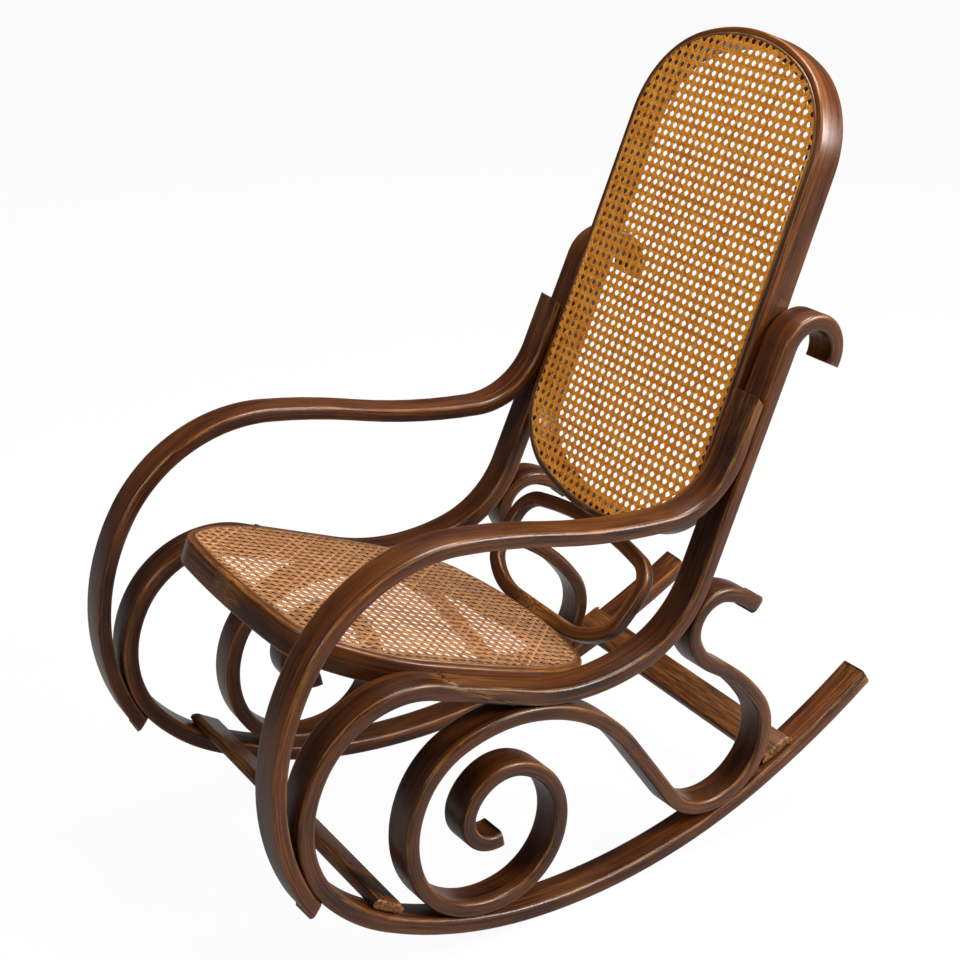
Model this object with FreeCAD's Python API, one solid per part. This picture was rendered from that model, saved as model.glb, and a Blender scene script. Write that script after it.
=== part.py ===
import FreeCAD, Part
import math
import os

os.makedirs("parts", exist_ok=True)

# Bentwood rocking chair, in millimetres.
# The pieces are drawn with the seat level: X to the sitter's left, Y to the rear, Z up.
# At the end the whole chair leans back until it stands balanced on its rockers.
# A stretch of a bent strip is ("straight", length), or ("left" or "right", radius, degrees).

# Stock: the side strips are steamed and bent laths of one width.
strip_width = 44.0
frame_thickness = 22.0
arm_thickness = 19.0
scroll_thickness = 20.0
edge_round = 5.0
end_round = 2.5
ring_round = 4.0

# Clearances between pieces that touch.
glue_gap = 0.1
side_gap = 0.3
hole_gap = 0.1

# Side frame: where each side stands, and how it splays to the front and to the floor.
side_half_distance = 217.0
side_pivot_y = 500.0
side_pivot_z = 325.0
splay_angle = 2.1
side_lean_angle = 1.1

# Side frame: hook, back post and seat rail in one bend, front loop and rocker in another.
hook_end = (602.0, 808.0)
hook_heading = 82.0
hook_bend = ("left", 42.5, 187.0)
post_straight = ("straight", 311.0)
post_foot_bends = [("right", 140.0, 52.0), ("right", 282.0, 37.0)]
rail_half_length = 74.0
scarf_length = 110.0
loop_top_bend = ("left", 127.0, 82.0)
loop_front_bend = ("left", 156.0, 66.5)
loop_foot_bend = ("left", 268.0, 22.5)
rocker_front_bend = ("left", 580.0, 23.5)
rocker_middle_bend = ("left", 775.0, 29.0)
rocker_rear_bend = ("left", 1100.0, 11.0)

# Armrest, from its tip on the front loop up to its flat end on the back post.
arm_tip_back_turn = 5.5
arm_tip_straight = 10.0
arm_tip_slant = 4.0
arm_lap_turn = 6.5
arm_front_bends = [("right", 300.0, 56.0), ("right", 208.0, 66.0), ("right", 870.0, 8.0)]
arm_rear_bends = [("left", 850.0, 12.0)]
arm_elbow_radius = 106.0
arm_upright_length = 70.9
arm_top_bevel = 28.0

# Scroll brace inside the rocker, from its inner curl out to the curl behind the post.
scroll_heading = 214.0
scroll_curl_bends = [("right", 42.0, 124.0), ("right", 60.0, 92.0), ("right", 98.0, 88.0)]
scroll_under_bend = ("right", 88.0, 57.0)
scroll_foot_bend = ("right", 126.0, 83.0)
scroll_shoulder_bends = [("right", 107.0, 45.0), ("right", 198.0, 29.0)]
scroll_front_turn = 44.0
scroll_top_bend = ("right", 245.0, 45.5)
scroll_top_y = 348.0
scroll_rear_turn = 109.5
scroll_rear_bend = ("left", 83.5, 70.0)
scroll_neck = [("left", 280.0, 21.5), ("straight", 19.0), ("right", 84.5, 35.5)]
scroll_hook_bend = ("right", 43.0, 128.5)
scroll_hook_end = [("right", 130.0, 23.0), ("straight", 9.0)]

# Seat ring, seen from above, from the middle of its front edge to the middle of its rear edge.
seat_front_y = -11.0
seat_rear_y = 466.0
seat_top_z = 358.0
seat_ring_height = 35.0
seat_ring_thickness = 27.0
seat_side_inset = 2.4
seat_front_turn = 6.0
seat_corner_bends = [("left", 72.0, 44.0), ("left", 200.0, 39.0)]
seat_side_bend = ("left", 1400.0, 6.0)
seat_rear_bends = [("left", 260.0, 22.0), ("left", 80.0, 42.0)]

# Back ring, seen from the front, from the middle of its lower edge.
back_front_y = 494.0
back_ring_depth = 42.0
back_ring_thickness = 21.0
back_bottom_z = 506.0
back_top_z = 1171.0
back_bottom_turn = 20.0
back_corner_radius = 108.0
back_shoulder_radius = 135.0
back_shoulder_turn = 66.0

# Cane panels, let into a groove behind a spline.
cane_thickness = 1.6
groove_inset = 8.0
groove_width = 4.4
groove_depth = 6.5
spline_proud = 0.9

# Small hoop between the seat and the back ring.
hoop_thickness = 19.0
hoop_depth = 17.0
hoop_lean_angle = 16.0
hoop_lower_bends = [("straight", 56.0), ("left", 120.0, 38.0), ("left", 46.0, 42.0)]
hoop_upper_bends = [("left", 240.0, 12.0), ("left", 46.0, 76.0)]
hoop_screw_slope = 46.0
hoop_screw_height = 12.0

# Cross stretchers on the rockers.
front_stretcher_width = 40.0
front_stretcher_height = 15.0
front_stretcher_turn = 20.5
rear_stretcher_width = 48.0
rear_stretcher_height = 14.0
rear_stretcher_turn = 2.0
stretcher_end_inset = 8.0
stretcher_round = 4.0

# Wood screws: shank, countersunk head and slot.
screw_shank = 4.5
screw_head = 9.0
screw_head_height = 3.0
screw_slot_width = 1.2
screw_slot_depth = 1.0
screw_sunk = 0.4
screw_mouth = 1.0
screw_bite = 14.0
arm_screw_turn = 25.0
arm_screw_drop = 45.0
scarf_screw_reach = 22.0
scarf_screw_length = 18.0
stretcher_screw_bite = 9.8
seat_screw_turns = (1.0, 4.6)
seat_screw_drop = 2.0
back_screw_heights = (640.0, 790.0)
hoop_screw_x = 18.0

# Densities in grams per cubic millimetre, to find how the chair balances.
wood_density = 0.00068
cane_density = 0.0005
steel_density = 0.00785

# The length or radius from which each unknown one is solved.
first_guess = 100.0

# Flat geometry: a station is a point (u, v) and a heading in degrees.


def step_along(station, stretch):
    """Return the station at the end of one stretch."""
    u, v, heading = station
    if stretch[0] == "straight":
        along = math.radians(heading)
        return (u + stretch[1] * math.cos(along), v + stretch[1] * math.sin(along), heading)
    turn = 1.0 if stretch[0] == "left" else -1.0
    radius = stretch[1] * turn
    start = math.radians(heading)
    end = math.radians(heading + turn * stretch[2])
    u_end = u + radius * (math.sin(end) - math.sin(start))
    v_end = v - radius * (math.cos(end) - math.cos(start))
    return (u_end, v_end, heading + turn * stretch[2])


def walk(start, stretches):
    """Return every station from the start over all stretches."""
    stations = [start]
    for stretch in stretches:
        stations.append(step_along(stations[-1], stretch))
    return stations


def beside(station, offset):
    """Return the point at a distance to the left of a station."""
    across = math.radians(station[2])
    return (station[0] - offset * math.sin(across), station[1] + offset * math.cos(across))


def ahead(station, distance):
    """Return a station moved straight on."""
    return step_along(station, ("straight", distance))


def turned(station):
    """Return a station that looks the other way."""
    return (station[0], station[1], station[2] - 180.0)


def moved(station, du, dv):
    """Return a station shifted without turning."""
    return (station[0] + du, station[1] + dv, station[2])


def bend_centre(station, stretch):
    """Return the centre of the bend that starts at a station."""
    return beside(station, stretch[1] if stretch[0] == "left" else -stretch[1])


def distance(a, b):
    """Return the distance between two flat points."""
    return math.hypot(a[0] - b[0], a[1] - b[1])


def solve(error, nudge=1.0):
    """Return the value at which an error is zero, by the secant rule."""
    a = first_guess
    b = first_guess + nudge
    error_a = error(a)
    for _ in range(40):
        error_b = error(b)
        if abs(error_b) < 1e-9 or error_a == error_b:
            break
        a, b, error_a = b, b - error_b * (b - a) / (error_b - error_a), error_b
    return b


# Solid geometry from flat outlines.

SIDE = "side"
TOP = "top"
FRONT = "front"


def lift(point, plane, level):
    """Return the point in space of a flat point."""
    if plane == SIDE:
        return FreeCAD.Vector(level, point[0], point[1])
    if plane == TOP:
        return FreeCAD.Vector(point[0], point[1], level)
    return FreeCAD.Vector(point[0], level, point[1])


def edges_beside(stations, stretches, offset, plane, level):
    """Return the lines and arcs that follow a walk at one offset to its left."""
    edges = []
    for start, end, stretch in zip(stations, stations[1:], stretches):
        a = lift(beside(start, offset), plane, level)
        b = lift(beside(end, offset), plane, level)
        if stretch[0] == "straight":
            edges.append(Part.makeLine(a, b))
        else:
            half = step_along(start, (stretch[0], stretch[1], stretch[2] / 2.0))
            middle = lift(beside(half, offset), plane, level)
            edges.append(Part.Arc(a, middle, b).toShape())
    return edges


def face_of(edges):
    """Return the flat face inside a closed chain of edges."""
    return Part.Face(Part.Wire(Part.__sortEdges__(edges)))


def strip(stations, stretches, thickness, depth, plane, level=0.0, start_slant=0.0, end_slant=0.0):
    """Return a bent strip about a walk; the slants move its left corners on, its right ones back."""
    low = level - depth / 2.0
    edges = []
    ends = []
    for side in (1.0, -1.0):
        route = list(stations)
        route[0] = ahead(route[0], side * start_slant)
        route[-1] = ahead(route[-1], side * end_slant)
        offset = side * thickness / 2.0
        edges += edges_beside(route, stretches, offset, plane, low)
        ends.append((beside(route[0], offset), beside(route[-1], offset)))
    for left, right in zip(ends[0], ends[1]):
        edges.append(Part.makeLine(lift(left, plane, low), lift(right, plane, low)))
    return face_of(edges).extrude(lift((0.0, 0.0), plane, depth))


def ring(stations, stretches, outer, inner, depth, plane, level):
    """Return a closed ring between two offsets inside a half outline and its mirror image."""
    faces = []
    for offset in (outer, inner):
        half = edges_beside(stations, stretches, offset, plane, level)
        faces.append(face_of(half + [mirrored(edge) for edge in half]))
    return faces[0].cut(faces[1]).extrude(lift((0.0, 0.0), plane, depth))


def panel(stations, stretches, offset, depth, plane, level):
    """Return a flat panel inside one offset of a half outline and its mirror image."""
    half = edges_beside(stations, stretches, offset, plane, level)
    return face_of(half + [mirrored(edge) for edge in half]).extrude(lift((0.0, 0.0), plane, depth))


def mirrored(shape):
    """Return a shape's mirror image on the other side of the chair."""
    return shape.mirror(FreeCAD.Vector(0, 0, 0), FreeCAD.Vector(1, 0, 0))


def face_near(solid, point):
    """Return the face whose centre lies nearest to a point."""
    return min(solid.Faces, key=lambda face: face.CenterOfMass.distanceToPoint(point))


def soften(solid, plane, radius, sharp_points=()):
    """Return a solid with its edges in the plane rounded, except round the named end faces."""
    across = lift((0.0, 0.0), plane, 1.0)
    kept = [edge for point in sharp_points for edge in face_near(solid, point).Edges]
    chosen = []
    for edge in solid.Edges:
        direction = edge.tangentAt((edge.FirstParameter + edge.LastParameter) / 2.0)
        if abs(direction.dot(across)) < 0.5 and not any(edge.isSame(other) for other in kept):
            chosen.append(edge)
    return solid.makeFillet(radius, chosen)


def bent_lath(stations, stretches, thickness, start_slant=0.0, end_slant=0.0):
    """Return a side strip with rounded edges and ends."""
    solid = strip(stations, stretches, thickness, strip_width, SIDE, 0.0, start_slant, end_slant)
    tips = [lift(stations[0][:2], SIDE, 0.0), lift(stations[-1][:2], SIDE, 0.0)]
    solid = soften(solid, SIDE, edge_round, tips)
    for tip in tips:
        solid = solid.makeFillet(end_round, face_near(solid, tip).Edges)
    return solid


def to_side(shape):
    """Return a shape of the flat side frame set up in its place on the sitter's left."""
    placed = shape.copy()
    pivot = FreeCAD.Vector(0.0, side_pivot_y, side_pivot_z)
    placed.rotate(pivot, FreeCAD.Vector(0, 0, 1), splay_angle)
    placed.rotate(pivot, FreeCAD.Vector(0, 1, 0), -side_lean_angle)
    placed.translate(FreeCAD.Vector(side_half_distance, 0.0, 0.0))
    return placed


def side_x(y, z, offset=0.0):
    """Return the X of the side frame's middle plane, or of a face beside it."""
    x = side_half_distance + offset
    x -= math.tan(math.radians(splay_angle)) * (y - side_pivot_y)
    return x - math.tan(math.radians(side_lean_angle)) * (z - side_pivot_z)


# Side frame path.

rail_stretch = ("straight", 2.0 * rail_half_length)
frame_stretches = [hook_bend, post_straight] + post_foot_bends + [rail_stretch]
frame_stretches += [loop_top_bend, loop_front_bend, loop_foot_bend]
frame_stretches += [rocker_front_bend, rocker_middle_bend, rocker_rear_bend]
frame_stations = walk((hook_end[0], hook_end[1], hook_heading), frame_stretches)


def frame_start(stretch):
    """Return the station at which one stretch of the side frame starts."""
    return frame_stations[frame_stretches.index(stretch)]


def frame_centre(stretch):
    """Return the centre of one bend of the side frame."""
    return bend_centre(frame_start(stretch), stretch)


def on_frame(stretch, turn):
    """Return the station a number of degrees into one bend of the side frame."""
    return step_along(frame_start(stretch), (stretch[0], stretch[1], turn))


def make_side_frame():
    """Return the post and the rocker, parted by the scarf joint in the seat rail."""
    frame = bent_lath(frame_stations, frame_stretches, frame_thickness)
    middle = ahead(frame_start(rail_stretch), rail_half_length)
    slope = math.degrees(math.atan2(frame_thickness, scarf_length))
    length = math.hypot(frame_thickness, scarf_length) + frame_thickness
    start = ahead((middle[0], middle[1], middle[2] + slope), -length / 2.0)
    path = [("straight", length)]
    kerf = strip(walk(start, path), path, glue_gap, 2.0 * strip_width, SIDE)
    halves = sorted(frame.cut(kerf).Solids, key=lambda half: half.CenterOfMass.z)
    return halves[1], halves[0]


# Armrest path: it laps the front loop, sweeps back and stands against the post.

arm_lap_radius = loop_front_bend[1] + frame_thickness / 2.0 + arm_thickness / 2.0 + glue_gap
post_station = turned(frame_start(post_foot_bends[0]))


def arm_walk(reach):
    """Return the armrest's stations and stretches for one free straight length."""
    tip = on_frame(loop_front_bend, loop_front_bend[2] - arm_tip_back_turn)
    outside = beside(tip, loop_front_bend[1] - arm_lap_radius)
    start = ahead((outside[0], outside[1], tip[2] - 180.0), -arm_tip_straight)
    stretches = [("straight", arm_tip_straight), ("right", arm_lap_radius, arm_lap_turn)]
    stretches += arm_front_bends + [("straight", reach)] + arm_rear_bends
    heading = walk(start, stretches)[-1][2]
    stretches.append(("left", arm_elbow_radius, post_station[2] - heading))
    stretches.append(("straight", arm_upright_length))
    return walk(start, stretches), stretches


def arm_from_post(reach):
    """Return how far the armrest's upright stands off its seat on the post."""
    end = arm_walk(reach)[0][-1]
    across = math.radians(post_station[2])
    away = (end[0] - post_station[0]) * math.sin(across) - (end[1] - post_station[1]) * math.cos(across)
    return away + frame_thickness / 2.0 + arm_thickness / 2.0 + glue_gap


arm_stations, arm_stretches = arm_walk(solve(arm_from_post))


def make_arm():
    """Return the armrest."""
    bevel = arm_thickness / 2.0 * math.tan(math.radians(arm_top_bevel))
    return bent_lath(arm_stations, arm_stretches, arm_thickness, arm_tip_slant, -bevel)


# Scroll path: it hangs under the rail, stands on the rocker and leans on the post.


def scroll_walk(front_radius, slope, rear_radius):
    """Return the scroll's stations and stretches for its two free radii and free length."""
    stretches = scroll_curl_bends + [scroll_under_bend, scroll_foot_bend]
    stretches += [("right", front_radius, scroll_front_turn)] + scroll_shoulder_bends
    stretches += [scroll_top_bend, ("straight", slope)]
    stretches += [("left", rear_radius, scroll_rear_turn), scroll_rear_bend] + scroll_neck
    stretches += [scroll_hook_bend] + scroll_hook_end
    stations = walk((0.0, 0.0, scroll_heading), stretches)
    top_centre = bend_centre(stations[stretches.index(scroll_top_bend)], scroll_top_bend)
    rail_centre = frame_centre(post_foot_bends[1])
    touch = post_foot_bends[1][1] + frame_thickness / 2.0
    touch += scroll_top_bend[1] + scroll_thickness / 2.0 + glue_gap
    back = rail_centre[0] - scroll_top_y
    target_z = rail_centre[1] - math.sqrt(touch ** 2 - back ** 2)
    shift = (scroll_top_y - top_centre[0], target_z - top_centre[1])
    return [moved(station, shift[0], shift[1]) for station in stations], stretches


def scroll_above_rocker(front_radius):
    """Return the scroll's gap to the rocker at its foot."""
    stations, stretches = scroll_walk(front_radius, first_guess, first_guess)
    foot = bend_centre(stations[stretches.index(scroll_foot_bend)], scroll_foot_bend)
    reach = scroll_foot_bend[1] + scroll_thickness / 2.0 + glue_gap
    face = rocker_front_bend[1] - frame_thickness / 2.0
    return face - reach - distance(foot, frame_centre(rocker_front_bend))


def scroll_behind_post(slope, rear_radius):
    """Return the scroll's gap to the foot of the post."""
    stations, stretches = scroll_walk(scroll_front_radius, slope, rear_radius)
    hook = bend_centre(stations[stretches.index(scroll_hook_bend)], scroll_hook_bend)
    reach = scroll_hook_bend[1] + scroll_thickness / 2.0 + glue_gap
    face = post_foot_bends[0][1] + frame_thickness / 2.0
    return distance(hook, frame_centre(post_foot_bends[0])) - face - reach


def slope_to_post(rear_radius):
    """Return the length of the scroll's slope that brings its hook to the post."""
    return solve(lambda slope: scroll_behind_post(slope, rear_radius))


def scroll_on_rocker(rear_radius):
    """Return the scroll's gap to the rocker under its rear loop."""
    stations, stretches = scroll_walk(scroll_front_radius, slope_to_post(rear_radius), rear_radius)
    rear = ("left", rear_radius, scroll_rear_turn)
    loop = bend_centre(stations[stretches.index(rear)], rear)
    face = rocker_middle_bend[1] - frame_thickness / 2.0
    reach = rear_radius + scroll_thickness / 2.0 + glue_gap
    return face - reach - distance(loop, frame_centre(rocker_middle_bend))


scroll_front_radius = solve(scroll_above_rocker)
scroll_rear_radius = solve(scroll_on_rocker)
scroll_slope = slope_to_post(scroll_rear_radius)
scroll_stations, scroll_stretches = scroll_walk(scroll_front_radius, scroll_slope, scroll_rear_radius)


def make_scroll():
    """Return the scroll brace."""
    return bent_lath(scroll_stations, scroll_stretches, scroll_thickness)


# Seat ring with the groove for its cane, let in between the rails.


def seat_front(radius):
    """Return the seat's front stretches for a free radius, and where they end."""
    stretches = [("left", radius, seat_front_turn)] + seat_corner_bends
    return stretches, walk((0.0, seat_front_y, 0.0), stretches)[-1]


seat_half_width = side_half_distance - seat_side_inset
seat_front_radius = solve(lambda radius: seat_front(radius)[1][0] - seat_half_width)


def seat_walk(side):
    """Return the seat's half outline for a free length of its side."""
    stretches = seat_front(seat_front_radius)[0] + [seat_side_bend, ("straight", side)]
    stretches += seat_rear_bends
    corner = walk((0.0, seat_front_y, 0.0), stretches)[-1]
    radius = corner[0] / math.sin(math.radians(corner[2]))
    stretches.append(("left", radius, 180.0 - corner[2]))
    return walk((0.0, seat_front_y, 0.0), stretches), stretches


seat_side = solve(lambda side: seat_walk(side)[0][-1][1] - seat_rear_y)
seat_stations, seat_stretches = seat_walk(seat_side)


def make_ring_set(stations, stretches, thickness, depth, plane, front, outward):
    """Return a grooved ring, its cane panel and its spline; outward is the cane side's sign."""
    back = front - outward * depth
    body = ring(stations, stretches, 0.0, thickness, depth, plane, min(front, back))
    body = soften(body, plane, ring_round)
    inner = groove_inset + groove_width
    floor = front - outward * groove_depth
    far = front + outward * edge_round
    groove = ring(stations, stretches, groove_inset, inner, abs(far - floor), plane, min(far, floor))
    body = body.cut(groove)
    low = min(floor, front + outward * spline_proud) + (glue_gap if outward > 0 else 0.0)
    height = groove_depth + spline_proud - glue_gap
    bead = ring(stations, stretches, groove_inset + glue_gap, inner - glue_gap, height, plane, low)
    near = front + outward * glue_gap
    level = min(near, near + outward * cane_thickness)
    cane = panel(stations, stretches, inner, cane_thickness, plane, level)
    return body, cane, bead


def make_seat():
    """Return the seat ring, its cane and its spline."""
    body, cane, bead = make_ring_set(
        seat_stations, seat_stretches, seat_ring_thickness, seat_ring_height, TOP, seat_top_z, 1.0)
    first = frame_stretches.index(post_straight)
    last = frame_stretches.index(loop_foot_bend)
    room = strip(frame_stations[first:last + 1], frame_stretches[first:last],
                 frame_thickness + 2.0 * glue_gap, strip_width + 2.0 * side_gap, SIDE)
    for drop in (0.0, -frame_thickness / 2.0):
        lowered = to_side(room)
        lowered.translate(FreeCAD.Vector(0.0, 0.0, drop))
        body = body.cut(lowered).cut(mirrored(lowered))
    return body, cane, bead


# Back ring: its sides follow the inner faces of the leaning posts.


def back_walk():
    """Return the back ring's half outline, between the posts."""
    rear_y = post_station[0] + frame_thickness
    lean = math.tan(math.radians(side_lean_angle))
    face = side_x(rear_y, 0.0, -strip_width / 2.0) - side_gap
    start = math.radians(back_bottom_turn)
    upright = math.radians(90.0 + side_lean_angle)
    out = back_corner_radius * (math.sin(upright) - math.sin(start))
    up = back_corner_radius * (math.cos(start) - math.cos(upright))
    room = face - lean * (back_bottom_z + up) - out
    bottom_radius = room / (math.sin(start) + lean * (1.0 - math.cos(start)))
    corner = ("left", back_corner_radius, 90.0 + side_lean_angle - back_bottom_turn)
    stretches = [("left", bottom_radius, back_bottom_turn), corner]
    height = solve(lambda side: back_close(stretches, side)[0][-1][1] - back_top_z)
    return back_close(stretches, height)


def back_close(stretches, side):
    """Return the half outline with a side of one length, closed by the top arc."""
    shoulder = ("left", back_shoulder_radius, back_shoulder_turn)
    route = stretches + [("straight", side), shoulder]
    corner = walk((0.0, back_bottom_z, 0.0), route)[-1]
    radius = corner[0] / math.sin(math.radians(corner[2]))
    route.append(("left", radius, 180.0 - corner[2]))
    return walk((0.0, back_bottom_z, 0.0), route), route


back_stations, back_stretches = back_walk()


def make_back():
    """Return the back ring, its cane and its spline."""
    return make_ring_set(
        back_stations, back_stretches, back_ring_thickness, back_ring_depth, FRONT, back_front_y, -1.0)


# Hoop between the seat's rear edge and the foot of the back ring.

hoop_bends = hoop_lower_bends + hoop_upper_bends
hoop_corner = walk((0.0, 0.0, 0.0), hoop_bends)[-1]
hoop_top_radius = hoop_corner[0] / math.sin(math.radians(hoop_corner[2]))
hoop_stretches = hoop_bends + [("left", hoop_top_radius, 180.0 - hoop_corner[2])]
hoop_height = walk((0.0, 0.0, 0.0), hoop_stretches)[-1][1]
hoop_lean = math.radians(hoop_lean_angle)
hoop_corner_loss = ring_round * (math.cos(hoop_lean) + math.sin(hoop_lean) - 1.0)
hoop_bottom_y = seat_rear_y + glue_gap - hoop_corner_loss
hoop_bottom_z = back_bottom_z - glue_gap - hoop_height * math.cos(hoop_lean) + hoop_corner_loss


def to_hoop(shape):
    """Return a shape of the upright hoop leaned back about its lower front edge."""
    placed = shape.copy()
    pivot = FreeCAD.Vector(0.0, hoop_bottom_y, hoop_bottom_z)
    placed.translate(pivot)
    placed.rotate(pivot, FreeCAD.Vector(1, 0, 0), -hoop_lean_angle)
    return placed


def make_hoop():
    """Return the small hoop."""
    stations = walk((0.0, 0.0, 0.0), hoop_stretches)
    body = ring(stations, hoop_stretches, 0.0, hoop_thickness, hoop_depth, FRONT, 0.0)
    return to_hoop(soften(body, FRONT, ring_round))


# Cross stretchers: each lies on both rockers and ends short of their outer faces.


def stretcher_seat(stretch, turn, width):
    """Return where a flat stretcher seats on a rocker: a point, and the slope in degrees."""
    station = on_frame(stretch, turn)
    inner = stretch[1] - frame_thickness / 2.0
    sagitta = inner - math.sqrt(inner ** 2 - (width / 2.0) ** 2)
    return beside(station, frame_thickness / 2.0 + sagitta + side_gap), station[2]


def tilted(shape, point, slope):
    """Return a shape drawn level about the origin, moved to a point and tilted to a slope."""
    placed = shape.copy()
    placed.rotate(FreeCAD.Vector(0, 0, 0), FreeCAD.Vector(1, 0, 0), slope)
    placed.translate(FreeCAD.Vector(0.0, point[0], point[1]))
    return placed


def bar(half_length, width, height):
    """Return a level bar across the chair, centred, standing on Z = 0."""
    corner = FreeCAD.Vector(-half_length, -width / 2.0, 0.0)
    solid = Part.makeBox(2.0 * half_length, width, height, corner)
    return solid.makeFillet(stretcher_round, solid.Edges)


def make_stretcher(stretch, turn, width, height):
    """Return one stretcher lying on both rockers."""
    point, slope = stretcher_seat(stretch, turn, width)
    half = side_x(point[0], point[1], strip_width / 2.0) - stretcher_end_inset
    return tilted(bar(half, width, height), point, slope)


# Screws: each starts at its head's centre on a face and runs along a direction.


def screw(point, direction, length):
    """Return a slotted countersunk screw and the larger room that its hole takes."""
    direction = FreeCAD.Vector(direction).normalize()
    head = point + direction * screw_sunk
    bodies = []
    for extra in (0.0, hole_gap):
        radius = screw_shank / 2.0 + extra
        shank = Part.makeCylinder(radius, length + extra, head, direction)
        cone = Part.makeCone(screw_head / 2.0 + extra, radius, screw_head_height, head, direction)
        bodies.append(shank.fuse(cone))
    start = point - direction * screw_mouth
    reach = screw_mouth + screw_sunk
    mouth = Part.makeCylinder(screw_head / 2.0 + hole_gap, reach, start, direction)
    slot = Part.makeBox(screw_slot_width, 2.0 * screw_head, 2.0 * screw_slot_depth)
    slot.translate(FreeCAD.Vector(-screw_slot_width / 2.0, -screw_head, -screw_slot_depth))
    turn = FreeCAD.Rotation(FreeCAD.Vector(0, 0, 1), direction)
    slot.Placement = FreeCAD.Placement(head, turn) * slot.Placement
    return bodies[0].cut(slot), bodies[1].fuse(mouth)


def toward(start, goal, length):
    """Return the flat point a length from the start on the line to the goal."""
    share = length / distance(start, goal)
    return (start[0] + share * (goal[0] - start[0]), start[1] + share * (goal[1] - start[1]))


def side_screw(name, start, goal, length, pieces):
    """Return the plan of a screw in a side frame: name, place, point, direction, length, pieces."""
    point = lift(start, SIDE, 0.0)
    return (name, to_side, point, lift(goal, SIDE, 0.0) - point, length, pieces)


def arm_screws():
    """Return the plans of the screws at both ends of the armrest."""
    half = frame_thickness / 2.0
    lap = on_frame(loop_front_bend, loop_front_bend[2] - arm_screw_turn)
    tip = beside(lap, -half - glue_gap - arm_thickness)
    height = ahead(post_station, arm_stations[-1][1] - arm_screw_drop - post_station[1])
    return [
        side_screw("arm_tip_screw", tip, lap, arm_thickness + screw_bite, ["arm", "rocker"]),
        side_screw("arm_top_screw", beside(height, -half), height,
                   frame_thickness + screw_bite, ["side_post", "arm"]),
    ]


def scroll_screws():
    """Return the plans of the screws where the scroll touches the rail, rocker and post."""
    centres = {}
    for bend in (scroll_top_bend, scroll_foot_bend, scroll_hook_bend):
        centres[bend] = bend_centre(scroll_stations[scroll_stretches.index(bend)], bend)
    plans = []
    for name, bend, frame_bend in (("scroll_rail_screw", scroll_top_bend, post_foot_bends[1]),
                                   ("scroll_post_screw", scroll_hook_bend, post_foot_bends[0])):
        goal = frame_centre(frame_bend)
        start = toward(centres[bend], goal, bend[1] - scroll_thickness / 2.0)
        length = scroll_thickness + screw_bite
        plans.append(side_screw(name, start, goal, length, ["scroll", "side_post"]))
    rocker = frame_centre(rocker_front_bend)
    outer = rocker_front_bend[1] + frame_thickness / 2.0
    start = toward(rocker, centres[scroll_foot_bend], outer)
    length = frame_thickness + screw_bite
    plans.append(side_screw("scroll_foot_screw", start, rocker, length, ["rocker", "scroll"]))
    return plans


def rocker_screws():
    """Return the plans of the screws in the stretchers and in the rail's scarf joint."""
    half = frame_thickness / 2.0
    plans = []
    for piece, stretch, turn in (("front_stretcher", loop_foot_bend, front_stretcher_turn),
                                 ("rear_stretcher", rocker_rear_bend, rear_stretcher_turn)):
        station = on_frame(stretch, turn)
        length = frame_thickness + stretcher_screw_bite
        plans.append(side_screw(piece + "_screw", beside(station, -half), station, length,
                                ["rocker", piece]))
    middle = ahead(frame_start(rail_stretch), rail_half_length)
    for name, reach in (("scarf_screw_front", scarf_screw_reach),
                        ("scarf_screw_rear", -scarf_screw_reach)):
        station = ahead(middle, reach)
        plans.append(side_screw(name, beside(station, half), station, scarf_screw_length,
                                ["side_post", "rocker"]))
    return plans


def ring_screws():
    """Return the plans of the screws from inside both rings out into the side frame."""
    plans = []
    side_start = seat_stations[seat_stretches.index(seat_side_bend)]
    level = seat_top_z - seat_ring_height / 2.0 - seat_screw_drop
    for name, turn, piece in (("seat_screw_front", seat_screw_turns[0], "rocker"),
                              ("seat_screw_rear", seat_screw_turns[1], "side_post")):
        station = step_along(side_start, (seat_side_bend[0], seat_side_bend[1], turn))
        point = lift(beside(station, seat_ring_thickness), TOP, level)
        direction = lift(station, TOP, level) - point
        length = seat_ring_thickness + screw_bite
        plans.append((name, in_chair, point, direction, length, ["seat_ring", piece]))
    side_start = back_stations[[stretch[0] for stretch in back_stretches].index("straight")]
    level = post_station[0]
    for name, z in zip(("back_screw_low", "back_screw_high"), back_screw_heights):
        station = ahead(side_start, z - side_start[1])
        point = lift(beside(station, back_ring_thickness), FRONT, level)
        direction = lift(station, FRONT, level) - point
        length = back_ring_thickness + screw_bite
        plans.append((name, in_chair, point, direction, length, ["back_ring", "side_post"]))
    return plans


def hoop_seat_screw():
    """Return the plan of the screw from the hoop's rear down into the seat ring."""
    point = FreeCAD.Vector(hoop_screw_x, hoop_depth, hoop_screw_height)
    slope = math.radians(hoop_screw_slope)
    direction = FreeCAD.Vector(0, -math.cos(slope), -math.sin(slope))
    length = hoop_depth + screw_bite
    return ("hoop_seat_screw", to_hoop, point, direction, length, ["back_hoop", "seat_ring"])


def make_hoop_top_screw():
    """Return the one screw from the hoop's top up into the back ring, and its room."""
    bottom = hoop_height - hoop_thickness
    point = FreeCAD.Vector(0.0, hoop_depth / 2.0, bottom)
    solid, room = screw(point, FreeCAD.Vector(0, 0, 1), hoop_thickness + screw_bite)
    return to_hoop(solid), to_hoop(room)


def in_chair(shape):
    """Return a shape that is already in its place."""
    return shape


def whole(shape):
    """Return the one solid that a cut has left."""
    return max(shape.Solids, key=lambda solid: solid.Volume)


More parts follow.
